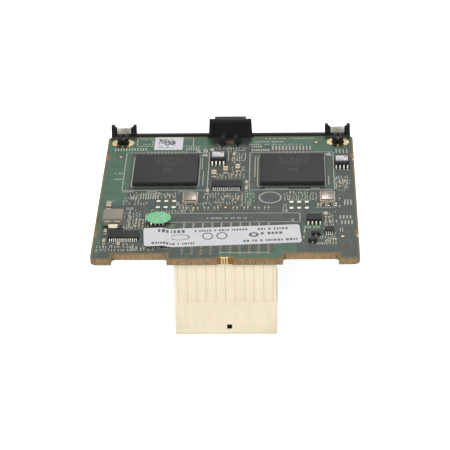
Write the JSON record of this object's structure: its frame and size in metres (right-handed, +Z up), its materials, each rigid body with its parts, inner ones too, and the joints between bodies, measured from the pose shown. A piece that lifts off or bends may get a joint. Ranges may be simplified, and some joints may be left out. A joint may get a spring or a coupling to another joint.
{
  "type": "mezzanine network card",
  "caption": "Small circuit board with a straight backplane connector under its front edge, two large chips, a paper label and a black retainer bracket with a pull handle behind.",
  "frame": {"origin": "middle of the connector's mating face, which looks down", "axes": "+Z up through the connector to the board's component side, +Y from the board's front edge back to the retainer bracket, +X to the right along the front edge"},
  "size_m": [0.084, 0.09, 0.0354],
  "materials": {
    "solder_mask": "satin solder mask over glass-epoxy",
    "cream_lcp": "matte liquid crystal polymer",
    "black_nylon": "matte glass-filled nylon",
    "spring_steel": "bright spring steel strip",
    "tinned_metal": "tinned copper",
    "contact_gold": "gold-plated spring contact",
    "black_epoxy": "matte moulded epoxy",
    "ceramic": "matte ceramic",
    "nickel_lid": "nickel-plated lid",
    "iron_powder": "matte pressed iron powder",
    "white_paper": "matte paper",
    "green_paper": "matte paper"
  },
  "bodies": {
    "root": {"circuit_board": "solder_mask", "connector_housing": "cream_lcp", "press_fit_tails": "tinned_metal", "contact_beams": "contact_gold", "retainer_bracket": "black_nylon", "grounding_clip_left": "spring_steel", "grounding_clip_right": "spring_steel", "ground_pads": "tinned_metal", "controller_chip_left": "black_epoxy", "controller_chip_right": "black_epoxy", "solder_balls": "tinned_metal", "transistors": "black_epoxy", "transistor_leads": "tinned_metal", "oscillator_bases": "ceramic", "oscillator_lids": "nickel_lid", "power_inductor": "iron_powder", "inductor_terminals": "tinned_metal", "large_capacitors": "ceramic", "medium_capacitors": "ceramic", "row_capacitors": "ceramic", "small_resistors": "ceramic", "paper_label": "white_paper", "code_label": "white_paper", "round_sticker": "green_paper", "chip_tags": "white_paper", "connector_wafer_01": "cream_lcp", "connector_wafer_02": "cream_lcp", "connector_wafer_03": "cream_lcp", "connector_wafer_04": "cream_lcp", "connector_wafer_05": "cream_lcp", "connector_wafer_06": "cream_lcp", "connector_wafer_07": "cream_lcp", "connector_wafer_08": "cream_lcp", "connector_wafer_09": "cream_lcp", "connector_wafer_10": "cream_lcp", "flash_chip_left": "black_epoxy", "flash_chip_left_leads": "tinned_metal", "flash_chip_right": "black_epoxy", "flash_chip_right_leads": "tinned_metal", "regulator_chip": "black_epoxy", "regulator_chip_leads": "tinned_metal", "timer_chip": "black_epoxy", "timer_chip_leads": "tinned_metal", "interface_chip_left": "black_epoxy", "interface_chip_left_leads": "tinned_metal", "interface_chip_centre": "black_epoxy", "interface_chip_centre_leads": "tinned_metal", "converter_chip": "black_epoxy", "converter_chip_leads": "tinned_metal", "memory_chip": "black_epoxy", "memory_chip_leads": "tinned_metal"}
  },
  "joints": []
}
